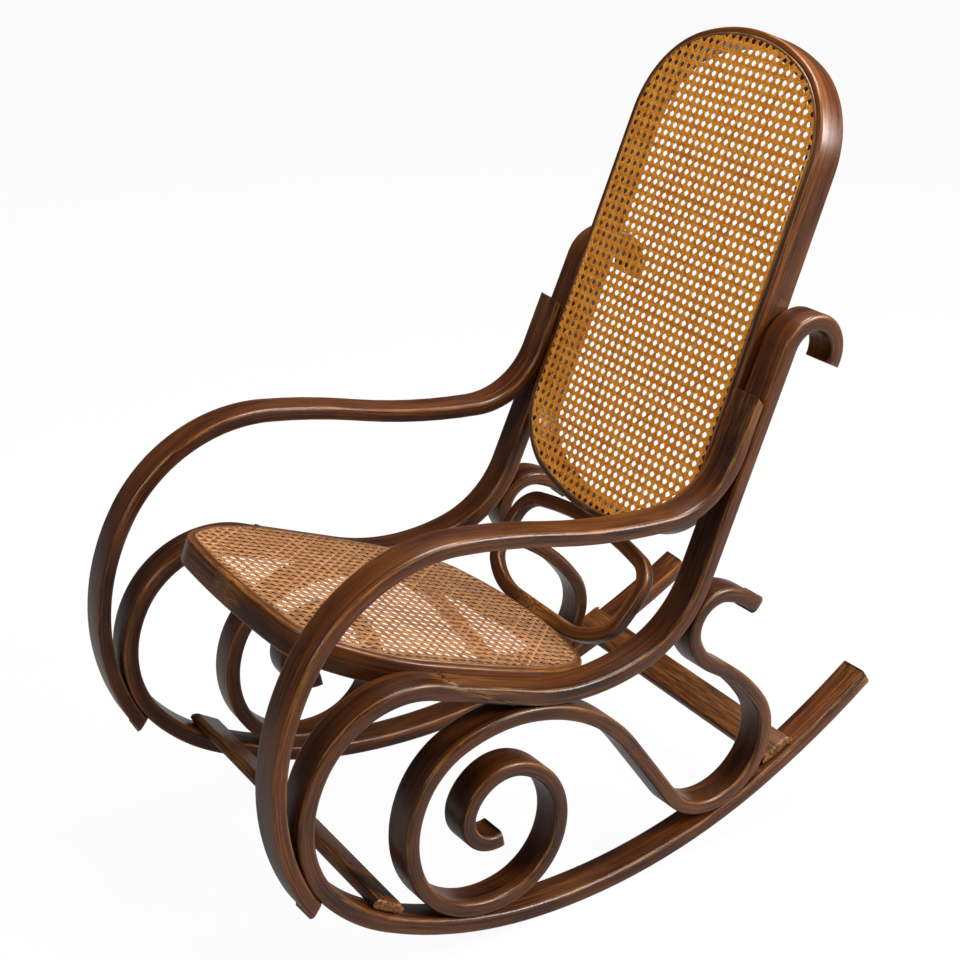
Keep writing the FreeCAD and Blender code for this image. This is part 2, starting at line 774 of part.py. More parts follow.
def build():
    """Return every piece in its place, with the seat level."""
    post, rocker = make_side_frame()
    sides = {"side_post": post, "rocker": rocker, "arm": make_arm(), "scroll": make_scroll()}
    sides = {name: to_side(solid) for name, solid in sides.items()}
    middle = dict(zip(("seat_ring", "seat_cane", "seat_spline"), make_seat()))
    middle.update(zip(("back_ring", "back_cane", "back_spline"), make_back()))
    middle["back_hoop"] = make_hoop()
    middle["front_stretcher"] = make_stretcher(
        loop_foot_bend, front_stretcher_turn, front_stretcher_width, front_stretcher_height)
    middle["rear_stretcher"] = make_stretcher(
        rocker_rear_bend, rear_stretcher_turn, rear_stretcher_width, rear_stretcher_height)

    screws = {}
    plans = arm_screws() + scroll_screws() + rocker_screws() + ring_screws() + [hoop_seat_screw()]
    for name, place, point, direction, length, pieces in plans:
        solid, room = screw(point, direction, length)
        screws[name] = place(solid)
        room = place(room)
        for piece in pieces:
            if piece in sides:
                sides[piece] = sides[piece].cut(room)
            else:
                middle[piece] = middle[piece].cut(room).cut(mirrored(room))
    middle["hoop_top_screw"], room = make_hoop_top_screw()
    for piece in ("back_hoop", "back_ring"):
        middle[piece] = middle[piece].cut(room)

    pieces = {}
    for name, solid in list(sides.items()) + list(screws.items()):
        pieces[name + "_left"] = whole(solid)
        pieces[name + "_right"] = whole(mirrored(solid))
    for name, solid in middle.items():
        pieces[name] = whole(solid)
    return pieces


def density(name):
    """Return a piece's density in grams per cubic millimetre."""
    if name.endswith("cane"):
        return cane_density
    return steel_density if "screw" in name else wood_density


def balanced_angle(pieces):
    """Return how far the chair leans back when its mass stands over the rockers."""
    mass = 0.0
    moment = FreeCAD.Vector(0, 0, 0)
    for name, solid in pieces.items():
        weight = solid.Volume * density(name)
        mass += weight
        moment += solid.CenterOfMass * weight
    centre = frame_centre(rocker_middle_bend)
    back = moment.y / mass - centre[0]
    return math.degrees(math.atan2(back, centre[1] - moment.z / mass))


def stand(pieces):
    """Return the pieces leaned back, standing on Z = 0 and centred about the origin."""
    angle = balanced_angle(pieces)
    placed = {}
    for name, solid in pieces.items():
        placed[name] = solid.copy()
        placed[name].rotate(FreeCAD.Vector(0, 0, 0), FreeCAD.Vector(1, 0, 0), -angle)
    boxes = [solid.optimalBoundingBox(False) for solid in placed.values()]
    shift = FreeCAD.Vector(0.0, -min(box.YMin for box in boxes) / 2.0, 0.0)
    shift.y -= max(box.YMax for box in boxes) / 2.0
    shift.z = -min(box.ZMin for box in boxes)
    for solid in placed.values():
        solid.translate(shift)
    print("recline angle", round(angle, 3), "shift", round(shift.y, 3), round(shift.z, 3))
    return placed


finished = stand(build())
for piece_name, piece_solid in sorted(finished.items()):
    piece_solid.exportStep("parts/" + piece_name + ".step")
print(len(finished), "pieces")
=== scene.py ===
import bpy
import math
from mathutils import Matrix, Vector


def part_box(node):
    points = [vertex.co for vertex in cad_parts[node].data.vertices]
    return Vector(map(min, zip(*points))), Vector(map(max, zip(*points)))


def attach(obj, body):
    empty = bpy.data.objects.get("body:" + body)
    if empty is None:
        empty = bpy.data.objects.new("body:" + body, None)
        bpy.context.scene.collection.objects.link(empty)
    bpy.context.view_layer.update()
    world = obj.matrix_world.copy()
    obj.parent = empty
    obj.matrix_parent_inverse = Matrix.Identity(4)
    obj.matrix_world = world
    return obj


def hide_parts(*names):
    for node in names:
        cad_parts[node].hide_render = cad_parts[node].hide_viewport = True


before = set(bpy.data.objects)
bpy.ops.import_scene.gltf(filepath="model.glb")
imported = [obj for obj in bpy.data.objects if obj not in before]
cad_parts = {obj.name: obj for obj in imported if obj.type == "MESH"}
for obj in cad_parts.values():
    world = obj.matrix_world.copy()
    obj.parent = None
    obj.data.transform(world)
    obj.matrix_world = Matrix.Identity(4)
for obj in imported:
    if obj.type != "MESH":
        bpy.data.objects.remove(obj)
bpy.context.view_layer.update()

# Bentwood rocking chair. Sizes are millimetres in the chair's own frame, with the seat level:
# X to the sitter's left, Y to the rear, Z up. A piece's last matrix leans the chair back and
# turns millimetres into metres. A bend is (radius, degrees), to the left where the degrees are
# positive; a straight run is (None, length).

# Wood stock.
lath_width = 44.0
frame_thickness = 22.0
arm_thickness = 19.0
scroll_thickness = 20.0
lath_round = 5.0
end_round = 2.5
ring_round = 4.0

# How the chair stands, and how its sides splay to the front and lean to the floor.
recline_angle = 20.347
stand_shift = Vector((0.0, -507.242, 115.438))
side_half_distance = 217.0
side_pivot = Vector((0.0, 500.0, 325.0))
splay_angle = 2.1
side_lean_angle = 1.1

# Side frame: the post lath and the rocker lath meet in a long scarf in the seat rail.
hook_end = (602.0, 808.0, 82.0)
rail_half_length = 74.0
scarf_half_length = 55.0
post_bends = [(42.5, 187.0), (None, 311.0), (140.0, -52.0), (282.0, -37.0), (None, rail_half_length)]
rocker_bends = [(None, rail_half_length), (127.0, 82.0), (156.0, 66.5), (268.0, 22.5), (580.0, 23.5),
                (775.0, 29.0), (1100.0, 11.0)]

# Armrest, from its tip on the front loop to its slanted end on the post.
arm_tip = (68.98, 59.46, 143.0)
arm_tip_slant = 4.0
arm_top_slant = -5.05
arm_bends = [(None, 10.0), (176.6, -6.5), (300.0, -56.0), (208.0, -66.0), (870.0, -8.0), (None, 19.91),
             (850.0, 12.0), (106.0, 70.5), (None, 70.9)]

# Scroll, from its inner curl to its hook behind the post.
scroll_tip = (318.294, 149.352, 214.0)
scroll_bends = [(42.0, -124.0), (60.0, -92.0), (98.0, -88.0), (88.0, -57.0), (126.0, -83.0),
                (140.27, -44.0), (107.0, -45.0), (198.0, -29.0), (245.0, -45.5), (None, 131.1),
                (89.99, 109.5), (83.5, 70.0), (280.0, 21.5), (None, 19.0), (84.5, -35.5),
                (43.0, -128.5), (130.0, -23.0), (None, 9.0)]

# Rings: half outlines from the middle of the front or lower edge; the last arc closes them.
seat_front_y = -11.0
seat_top_z = 358.0
seat_ring_height = 35.0
seat_ring_thickness = 27.0
seat_bends = [(1150.0, 6.0), (72.0, 44.0), (200.0, 39.0), (1400.0, 6.0), (None, 14.54), (260.0, 22.0),
              (80.0, 42.0)]
back_front_y = 494.0
back_bottom_z = 506.0
back_ring_depth = 42.0
back_ring_thickness = 21.0
back_bends = [(340.78, 20.0), (108.0, 71.1), (None, 399.45), (135.0, 66.0)]
hoop_bottom_y = 465.15
hoop_bottom_z = 353.89
hoop_lean_angle = 16.0
hoop_thickness = 19.0
hoop_depth = 17.0
hoop_bends = [(None, 56.0), (120.0, 38.0), (46.0, 42.0), (240.0, 12.0), (46.0, 76.0)]

# Cane webbing and the reed spline that holds it.
spline_inset = 8.1
spline_width = 4.2
spline_height = 3.6
spline_proud = 1.7
spline_round = 1.7
cane_lift = 0.9
back_pitch = 12.95
seat_pitch = 13.5
pair_spacing = 2.55
strand_width = 2.15
strand_thickness = 0.55
pair_rise = 0.36
diagonal_rise = 0.62
strand_crown = 0.55
wall_reach = 20.0
ray_reach = 3000.0
merge_distance = 0.02
family_numbers = 1000.0

# Stretchers: their slopes seen from the side.
front_stretcher_slope = -11.0
rear_stretcher_slope = 45.5
stretcher_sizes = {"front_stretcher": (40.0, 15.0, front_stretcher_slope),
                   "rear_stretcher": (48.0, 14.0, rear_stretcher_slope)}
stretcher_round = 4.0

# Where along the grain pattern each piece of wood is cut from.
arm_grain = 5000.0
scroll_grain = 9000.0
other_side_grain = 20000.0
ring_grain = 33000.0

# Fineness: step along a bend, steps round an edge, rows in a rounded end as shares of its
# radius, the width of the worn rim at an end and the angle past which an edge stays sharp.
step_degrees = 2.0
edge_steps = 4
end_rows = (0.12, 0.4, 1.0)
rim_width = 6.0
crease_angle = 40.0

# Photograph's camera, in the chair's own frame.
camera_place = Vector((1836.0, -1200.0, 1025.0))
camera_forward = Vector((-0.757, 0.620, -0.205))
camera_right = Vector((0.549, 0.774, 0.314))
camera_lens = 71.26
camera_sensor = 36.0
camera_near = 0.05
camera_far = 60.0

# Studio, in metres: soft lamps as (name, place, width, height, power), then the floor's reach
# and grey, the white that the camera sees there, and the sky.
lamps = [("top soft box", (0.1, 0.9, 3.0), 1.5, 1.1, 120.0),
         ("front soft box", (0.6, -3.2, 2.6), 1.2, 1.2, 52.0),
         ("rear soft box", (2.1, 2.3, 2.1), 0.9, 1.4, 175.0)]
lamp_target = (0.0, 0.0, 0.5)
floor_reach = 9.0
floor_grey = 0.30
floor_roughness = 0.8
floor_white = 1.1
floor_seen_share = 0.86
floor_mirrored_share = 0.15
sky_light = 0.09
sky_seen_light = 0.98


# Paths on a flat sheet.


def walk(start, bends):
    """Return points along a path as (u, v, heading in degrees), fine enough for its bends."""
    stations = [start]
    for radius, amount in bends:
        u, v, heading = stations[-1]
        if radius is None:
            along = math.radians(heading)
            stations.append((u + amount * math.cos(along), v + amount * math.sin(along), heading))
            continue
        signed = math.copysign(radius, amount)
        count = max(2, math.ceil(abs(amount) / step_degrees))
        first = math.radians(heading)
        for index in range(1, count + 1):
            last = math.radians(heading + amount * index / count)
            stations.append((u + signed * (math.sin(last) - math.sin(first)),
                             v - signed * (math.cos(last) - math.cos(first)), math.degrees(last)))
    return stations


def beside(station, offset):
    """Return the point at a distance to the left of a station."""
    across = math.radians(station[2])
    return (station[0] - offset * math.sin(across), station[1] + offset * math.cos(across))


def closed_outline(start, bends, inset):
    """Return a symmetric loop of points inside a half outline, closed by an arc on the middle."""
    u, v, heading = walk(start, bends)[-1]
    radius = u / math.sin(math.radians(heading))
    half = [beside(station, inset) for station in walk(start, bends + [(radius, 180.0 - heading)])]
    return half + [(-u, v) for u, v in reversed(half[1:-1])]


# Places: flat sheets set up in the chair, and the chair stood on its rockers.

side_sheet = Matrix(((0, 0, 1, 0), (1, 0, 0, 0), (0, 1, 0, 0), (0, 0, 0, 1)))
front_sheet = Matrix(((1, 0, 0, 0), (0, 0, -1, 0), (0, 1, 0, 0), (0, 0, 0, 1)))
mirror = Matrix.Scale(-1.0, 4, (1, 0, 0))
lean_back = Matrix.Rotation(math.radians(-recline_angle), 4, "X")
stand = Matrix.Scale(0.001, 4) @ Matrix.Translation(stand_shift) @ lean_back


def side_place():
    """Return the place of a flat side frame on the sitter's left."""
    splay = Matrix.Rotation(math.radians(splay_angle), 4, "Z")
    lean = Matrix.Rotation(math.radians(-side_lean_angle), 4, "Y")
    turned = Matrix.Translation(side_pivot) @ lean @ splay @ Matrix.Translation(-side_pivot)
    return Matrix.Translation((side_half_distance, 0, 0)) @ turned @ side_sheet


def ring_place(plane, level):
    """Return the place of a flat ring: level with the seat, or upright as the back."""
    if plane == "seat":
        return Matrix.Translation((0, 0, level))
    return Matrix.Translation((0, level, 0)) @ front_sheet


# Node trees.


class Graph:
    """A node tree with short calls that add linked nodes."""

    def __init__(self, tree):
        self.tree = tree

    def feed(self, socket, value):
        """Link a socket or set its value."""
        if isinstance(value, Field):
            value = value.socket
        if isinstance(value, bpy.types.NodeSocket):
            self.tree.links.new(value, socket)
        else:
            socket.default_value = value

    def add(self, kind, values=None, **settings):
        """Add a node with settings and inputs, and return it."""
        node = self.tree.nodes.new(kind)
        for name, value in settings.items():
            setattr(node, name, value)
        for name, value in (values or {}).items():
            self.feed(node.inputs[name], value)
        return node

    def number(self, operation, *values):
        """Add a math node and return its result."""
        node = self.add("ShaderNodeMath", dict(enumerate(values)), operation=operation)
        return Field(self, node.outputs[0])

    def vector(self, operation, *values):
        """Add a vector math node and return its result."""
        node = self.add("ShaderNodeVectorMath", dict(enumerate(values)), operation=operation)
        return node.outputs["Vector"]

    def join(self, x=0.0, y=0.0, z=0.0):
        """Return a vector from three numbers."""
        return self.add("ShaderNodeCombineXYZ", {"X": x, "Y": y, "Z": z}).outputs[0]

    def split(self, vector):
        """Return the three numbers of a vector."""
        node = self.add("ShaderNodeSeparateXYZ", {0: vector})
        return [Field(self, socket) for socket in node.outputs]


class Field:
    """A number socket that works in sums and products."""

    def __init__(self, graph, socket):
        self.graph = graph
        self.socket = socket

    def __add__(self, other):
        return self.graph.number("ADD", self, other)

    def __sub__(self, other):
        return self.graph.number("SUBTRACT", self, other)

    def __mul__(self, other):
        return self.graph.number("MULTIPLY", self, other)

    def __truediv__(self, other):
        return self.graph.number("DIVIDE", self, other)

    def __neg__(self):
        return self.graph.number("MULTIPLY", self, -1.0)

    def __abs__(self):
        return self.graph.number("ABSOLUTE", self)

    def above(self, other):
        """Return 1 where this is the larger, else 0."""
        return self.graph.number("GREATER_THAN", self, other)

    def below(self, other):
        """Return 1 where this is the smaller, else 0."""
        return self.graph.number("LESS_THAN", self, other)

    def floor(self):
        """Return the whole number at or under this."""
        return self.graph.number("FLOOR", self)

    def modulo(self, other):
        """Return the remainder, never negative."""
        return self.graph.number("FLOORED_MODULO", self, other)

    def clamped(self):
        """Return this held between 0 and 1."""
        return self.graph.number("MINIMUM", self.graph.number("MAXIMUM", self, 0.0), 1.0)


def shape_tree(name, numbers):
    """Return a graph for a geometry tree with named number inputs, its inputs and its output."""
    tree = bpy.data.node_groups.new(name, "GeometryNodeTree")
    tree.interface.new_socket("Geometry", in_out="INPUT", socket_type="NodeSocketGeometry")
    for label in numbers:
        tree.interface.new_socket(label, in_out="INPUT", socket_type="NodeSocketFloat")
    tree.interface.new_socket("Material", in_out="INPUT", socket_type="NodeSocketMaterial")
    tree.interface.new_socket("Geometry", in_out="OUTPUT", socket_type="NodeSocketGeometry")
    graph = Graph(tree)
    entry = graph.add("NodeGroupInput")
    inputs = {label: Field(graph, entry.outputs[label]) for label in numbers}
    inputs["Geometry"] = entry.outputs["Geometry"]
    inputs["Material"] = entry.outputs["Material"]
    return graph, inputs, graph.add("NodeGroupOutput")


def finish_tree(graph, inputs, exit_node, geometry):
    """Close a geometry tree with real faces, smooth shading and a material."""
    real = graph.add("GeometryNodeRealizeInstances", {"Geometry": geometry}).outputs[0]
    smooth = graph.add("GeometryNodeSetShadeSmooth", {"Geometry": real}).outputs[0]
    dressed = graph.add("GeometryNodeSetMaterial", {"Geometry": smooth, "Material": inputs["Material"]})
    graph.feed(exit_node.inputs["Geometry"], dressed.outputs[0])


def keep(graph, geometry, name, value, data_type="FLOAT"):
    """Store a named attribute and return the geometry."""
    node = graph.add("GeometryNodeStoreNamedAttribute",
                     {"Geometry": geometry, "Name": name}, data_type=data_type)
    graph.feed(node.inputs["Value"], value)
    return node.outputs[0]


def recall(graph, name, data_type="FLOAT"):
    """Return a named attribute."""
    node = graph.add("GeometryNodeInputNamedAttribute", {"Name": name}, data_type=data_type)
    return node.outputs["Attribute"]


def make_lath_tree():
    """Return the tree that turns a flat path into a bent lath with rounded edges and ends."""
    graph, inputs, exit_node = shape_tree("Bent lath", [
        "Thickness", "Width", "Edge round", "End round", "Start slant", "End slant", "Grain start"])
    curve = graph.add("GeometryNodeMeshToCurve", {"Mesh": inputs["Geometry"]}).outputs[0]
    curve = graph.add("GeometryNodeSetCurveNormal", {"Curve": curve}, mode="Z_UP").outputs[0]
    along = Field(graph, graph.add("GeometryNodeSplineParameter").outputs["Length"])
    whole = Field(graph, graph.add("GeometryNodeSplineLength").outputs["Length"])
    tangent = graph.add("GeometryNodeInputTangent").outputs[0]
    curve = keep(graph, curve, "along", along)
    curve = keep(graph, curve, "to end", whole - along)
    curve = keep(graph, curve, "heading", tangent, "FLOAT_VECTOR")

    profile = graph.add("GeometryNodeCurvePrimitiveQuadrilateral",
                        {"Width": inputs["Thickness"], "Height": inputs["Width"]}).outputs[0]
    profile = graph.add("GeometryNodeFilletCurve",
                        {"Curve": profile, "Count": edge_steps, "Radius": inputs["Edge round"],
                         "Limit Radius": True}, mode="POLY").outputs[0]
    place = graph.add("GeometryNodeInputPosition").outputs[0]
    profile = keep(graph, profile, "section", place, "FLOAT_VECTOR")
    lath = graph.add("GeometryNodeCurveToMesh",
                     {"Curve": curve, "Profile Curve": profile, "Fill Caps": True}).outputs[0]

    heading = recall(graph, "heading", "FLOAT_VECTOR")
    up = graph.join(0.0, 0.0, 1.0)
    left = graph.vector("CROSS_PRODUCT", up, heading)
    across, _, _ = graph.split(recall(graph, "section", "FLOAT_VECTOR"))
    position = graph.add("GeometryNodeInputPosition").outputs[0]
    _, _, height = graph.split(position)
    from_start = Field(graph, recall(graph, "along"))
    to_end = Field(graph, recall(graph, "to end"))
    side = graph.number("SIGN", across)
    half = inputs["Thickness"] / 2.0
    half_width = inputs["Width"] / 2.0
    limit = inputs["End round"]
    moves = []
    for gap, slant in ((from_start, inputs["Start slant"]), (to_end, inputs["End slant"])):
        near = gap.below(limit + 0.01)
        depth = graph.number("MAXIMUM", limit - gap, 0.0)
        inset = limit - graph.number("SQRT", graph.number("MAXIMUM", limit * limit - depth * depth, 0.0))
        moves.append((near * slant * across / half, near * inset))
    shear = moves[0][0] + moves[1][0]
    inset = moves[0][1] + moves[1][1]
    shift = graph.vector("ADD", graph.add("ShaderNodeVectorMath", {0: heading, "Scale": shear},
                                          operation="SCALE").outputs[0],
                         graph.add("ShaderNodeVectorMath", {0: left, "Scale": -(inset * across / half)},
                                   operation="SCALE").outputs[0])
    sink = graph.join(0.0, 0.0, -(inset * height / half_width))
    lath = graph.add("GeometryNodeSetPosition",
                     {"Geometry": lath, "Offset": graph.vector("ADD", shift, sink)}).outputs[0]
    grain_along = from_start + inputs["Grain start"]
    lath = keep(graph, lath, "grain", graph.join(grain_along, across, height), "FLOAT_VECTOR")
    edge_round = inputs["Edge round"]
    reach = graph.number("MAXIMUM", half - abs(across), half_width - abs(height))
    corner = (reach / edge_round * -1.0 + 1.0).clamped()
    rim = (graph.number("MINIMUM", from_start, to_end) / rim_width * -1.0 + 1.0).clamped()
    lath = keep(graph, lath, "wear", graph.number("MAXIMUM", corner, rim))
    finish_tree(graph, inputs, exit_node, lath)
    return graph.tree


def strand_points(graph, inputs, family):
    """Return the points of one family of cane strands: positions, strand and step numbers."""
    pitch = inputs["Pitch"]
    columns = inputs["Columns"]
    rows = inputs["Rows"]
    index = Field(graph, graph.add("GeometryNodeInputIndex").outputs[0])
    upright = family == "upright"
    if family in ("upright", "level"):
        steps = (rows if upright else columns) * 3.0
        strands = ((columns if upright else rows) + 1.0) * 2.0
        strand = (index / steps).floor()
        step = index - strand * steps
        side = strand.modulo(2.0)
        crossing = step.modulo(3.0)
        between = crossing.above(1.5)
        own = ((strand / 2.0).floor() - (columns if upright else rows) / 2.0) * pitch
        own = own + (side - 0.5) * inputs["Pair spacing"]
        run = ((step / 3.0).floor() - (rows if upright else columns) / 2.0) * pitch
        run = run + (crossing - 0.5) * inputs["Pair spacing"] * (between * -1.0 + 1.0)
        run = run + between * pitch * 0.5
        over = (side + crossing).modulo(2.0) * -2.0 + 1.0
        rise = over * (between * -1.0 + 1.0) * inputs["Pair rise"] * (1.0 if upright else -1.0)
        x, y = (own, run) if upright else (run, own)
        direction = (0.0, 1.0, 0.0) if upright else (1.0, 0.0, 0.0)
    else:
        rising = family == "rising"
        steps = columns * 2.0 + 1.0
        strands = columns + rows
        strand = (index / steps).floor()
        step = index - strand * steps
        column = step / 2.0
        row = column - strand + rows - 0.5 if rising else strand + 0.5 - column
        x = (column - columns / 2.0) * pitch
        y = (row - rows / 2.0) * pitch
        over = step.modulo(2.0) * -2.0 + 1.0
        rise = over * inputs["Diagonal rise"] * (1.0 if rising else -1.0)
        slope = math.sqrt(0.5)
        direction = (slope, slope if rising else -slope, 0.0)
    return x, y, rise, strand, step, strands * steps, direction


def make_family(graph, inputs, family, number):
    """Return the finished strands of one family, cut off at the panel's edge."""
    x, y, rise, strand, step, count, direction = strand_points(graph, inputs, family)
    flat = graph.join(x, y, 0.0)
    hits = []
    for sign in (1.0, -1.0):
        ray = tuple(sign * part for part in direction)
        hits.append(graph.add("GeometryNodeRaycast",
                              {"Target Geometry": inputs["Geometry"], "Source Position": flat,
                               "Ray Direction": ray, "Ray Length": ray_reach}))
    ahead, behind = hits
    edge = graph.add("GeometryNodeSwitch",
                     {"Switch": ahead.outputs["Is Hit"], "False": behind.outputs["Hit Position"],
                      "True": ahead.outputs["Hit Position"]}, input_type="VECTOR").outputs[0]
    inside = graph.add("FunctionNodeBooleanMath",
                       {0: ahead.outputs["Is Hit"], 1: behind.outputs["Is Hit"]},
                       operation="AND").outputs[0]
    missed = graph.add("FunctionNodeBooleanMath",
                       {0: ahead.outputs["Is Hit"], 1: behind.outputs["Is Hit"]},
                       operation="NOR").outputs[0]
    place = graph.add("GeometryNodeSwitch",
                      {"Switch": inside, "False": edge, "True": graph.join(x, y, rise)},
                      input_type="VECTOR").outputs[0]
    points = graph.add("GeometryNodePoints", {"Count": count, "Position": (0.0, 0.0, 0.0)}).outputs[0]
    points = keep(graph, points, "strand", strand + family_numbers * number)
    points = keep(graph, points, "step", step)
    points = keep(graph, points, "place", place, "FLOAT_VECTOR")
    points = keep(graph, points, "missed", missed, "BOOLEAN")
    points = graph.add("GeometryNodeSetPosition", {
        "Geometry": points, "Position": recall(graph, "place", "FLOAT_VECTOR")}).outputs[0]
    points = graph.add("GeometryNodeDeleteGeometry",
                       {"Geometry": points, "Selection": recall(graph, "missed", "BOOLEAN")}).outputs[0]
    points = graph.add("GeometryNodeMergeByDistance",
                       {"Geometry": points, "Distance": merge_distance}).outputs[0]
    curve = graph.add("GeometryNodePointsToCurves",
                      {"Points": points, "Curve Group ID": recall(graph, "strand"),
                       "Weight": recall(graph, "step")}).outputs[0]
    single = graph.add("GeometryNodeSplineLength").outputs["Point Count"]
    short = Field(graph, single).below(1.5)
    curve = graph.add("GeometryNodeDeleteGeometry",
                      {"Geometry": curve, "Selection": short}, domain="CURVE").outputs[0]
    curve = graph.add("GeometryNodeSetCurveNormal", {"Curve": curve}, mode="Z_UP").outputs[0]
    length = Field(graph, graph.add("GeometryNodeSplineParameter").outputs["Length"])
    curve = keep(graph, curve, "along", length)
    width = inputs["Strand width"]
    thick = inputs["Strand thickness"]
    profile = graph.add("GeometryNodeCurvePrimitiveQuadrilateral",
                        {"Bottom Width": width, "Top Width": width * strand_crown, "Height": thick},
                        mode="TRAPEZOID").outputs[0]
    across, _, _ = graph.split(graph.add("GeometryNodeInputPosition").outputs[0])
    profile = keep(graph, profile, "across", across)
    return graph.add("GeometryNodeCurveToMesh",
                     {"Curve": curve, "Profile Curve": profile, "Fill Caps": True}).outputs[0]


def make_cane_tree():
    """Return the tree that weaves cane inside a walled panel: pairs both ways and two diagonals."""
    graph, inputs, exit_node = shape_tree("Woven cane", [
        "Pitch", "Columns", "Rows", "Pair spacing", "Pair rise", "Diagonal rise", "Strand width",
        "Strand thickness"])
    families = [make_family(graph, inputs, family, number)
                for number, family in enumerate(("upright", "level", "rising", "falling"))]
    gather = graph.add("GeometryNodeJoinGeometry")
    for family in families:
        graph.tree.links.new(family, gather.inputs[0])
    woven = keep(graph, gather.outputs[0], "grain",
                 graph.join(Field(graph, recall(graph, "along")), Field(graph, recall(graph, "across")),
                            Field(graph, recall(graph, "strand"))), "FLOAT_VECTOR")
    finish_tree(graph, inputs, exit_node, woven)
    return graph.tree


# Finishes: tones as (place, colour) from dark to light.

wood_tones = [(0.38, (0.0080, 0.0018, 0.0007)), (0.47, (0.0300, 0.0070, 0.0016)),
              (0.56, (0.0950, 0.0250, 0.0042)), (0.67, (0.2700, 0.0860, 0.0150))]
wood_cloud = (0.150, 0.046, 0.007, 1.0)
wood_fleck = (0.010, 0.003, 0.0015, 1.0)
wood_worn = (0.400, 0.165, 0.036, 1.0)
# Seat and back are one cane: the seat's tones are darkened as painted shade, and the back's are made
# lighter and more orange as painted light.
seat_cane_painted_shade_tones = [(0.25, (0.085, 0.028, 0.008)), (0.42, (0.200, 0.078, 0.024)),
                   (0.58, (0.340, 0.150, 0.052)), (0.78, (0.520, 0.280, 0.115))]
back_cane_painted_light_tones = [(0.25, (0.360, 0.100, 0.007)), (0.42, (0.640, 0.215, 0.018)),
                   (0.58, (0.830, 0.350, 0.040)), (0.78, (0.920, 0.520, 0.100))]
reed_tones = [(0.32, (0.050, 0.017, 0.008)), (0.50, (0.140, 0.058, 0.022)),
              (0.68, (0.300, 0.150, 0.055))]
steel_tones = [(0.35, (0.10, 0.055, 0.03)), (0.65, (0.42, 0.38, 0.33))]


def new_finish(name):
    """Return a material, its graph and its glossy shader."""
    material = bpy.data.materials.new(name)
    material.use_nodes = True
    graph = Graph(material.node_tree)
    return material, graph, material.node_tree.nodes["Principled BSDF"]


def stretched(graph, vector, scales):
    """Return a vector scaled along each axis."""
    return graph.vector("MULTIPLY", vector, scales)


def noise(graph, vector, detail=4.0, roughness=0.55):
    """Return a soft noise between 0 and 1."""
    node = graph.add("ShaderNodeTexNoise",
                     {"Vector": vector, "Scale": 1.0, "Detail": detail, "Roughness": roughness})
    return Field(graph, node.outputs[0])


def ramp(graph, value, stops):
    """Return a colour from stops of (place, colour)."""
    node = graph.add("ShaderNodeValToRGB", {0: value})
    while len(node.color_ramp.elements) < len(stops):
        node.color_ramp.elements.new(0.5)
    for element, (place, colour) in zip(node.color_ramp.elements, stops):
        element.position = place
        element.color = (*colour, 1.0)
    return node.outputs[0]


def mix(graph, share, a, b):
    """Return two colours mixed."""
    node = graph.add("ShaderNodeMix", data_type="RGBA")
    for number, value in ((0, share), (6, a), (7, b)):
        graph.feed(node.inputs[number], value)
    return node.outputs[2]


def attribute(graph, name, output):
    """Return an attribute of the mesh."""
    return graph.add("ShaderNodeAttribute", attribute_name=name).outputs[output]


def emboss(graph, shader, height, strength, depth):
    """Raise and sink a surface by a height pattern, to a depth in metres."""
    bump = graph.add("ShaderNodeBump", {"Height": height, "Strength": strength, "Distance": depth})
    graph.feed(shader.inputs["Normal"], bump.outputs[0])


def make_wood_finish():
    """Return beech, stained red-brown under a satin varnish, with its grain along the lath."""
    material, graph, shader = new_finish("stained beech")
    grain = attribute(graph, "grain", "Vector")
    broad = noise(graph, stretched(graph, grain, (0.0016, 0.045, 0.045)), 3.0)
    streaks = noise(graph, stretched(graph, grain, (0.008, 0.42, 0.42)), 5.0, 0.62)
    fine = noise(graph, stretched(graph, grain, (0.035, 1.9, 1.9)), 4.0, 0.7)
    flecks = noise(graph, stretched(graph, grain, (0.22, 2.6, 2.6)), 2.0, 0.5)
    flecks = ((flecks - 0.60) * 9.0).clamped()
    cloud = noise(graph, stretched(graph, grain, (0.011, 0.03, 0.03)), 2.0)
    tone = broad * 0.34 + streaks * 0.42 + fine * 0.24
    colour = ramp(graph, tone, wood_tones)
    colour = mix(graph, ((cloud - 0.42) * 2.4).clamped() * 0.5, colour, wood_cloud)
    colour = mix(graph, flecks * 0.6, colour, wood_fleck)
    wear = Field(graph, attribute(graph, "wear", "Fac"))
    patches = noise(graph, stretched(graph, grain, (0.02, 0.3, 0.3)), 5.0, 0.7)
    worn = (wear * 1.5 * ((patches - 0.45) * 5.0).clamped()).clamped()
    colour = mix(graph, worn * 0.6, colour, wood_worn)
    graph.feed(shader.inputs["Base Color"], colour)
    graph.feed(shader.inputs["Roughness"], streaks * 0.16 + patches * 0.16 + worn * 0.10 + 0.16)
    shader.inputs["Specular IOR Level"].default_value = 0.30
    shader.inputs["Coat Weight"].default_value = 0.10
    shader.inputs["Coat Roughness"].default_value = 0.22
    waves = noise(graph, stretched(graph, grain, (0.012, 0.05, 0.05)), 2.0)
    height = fine * 0.25 + flecks * -0.3 + streaks * 0.5 + waves * 3.0
    emboss(graph, shader, height, 0.45, 0.0004)
    return material


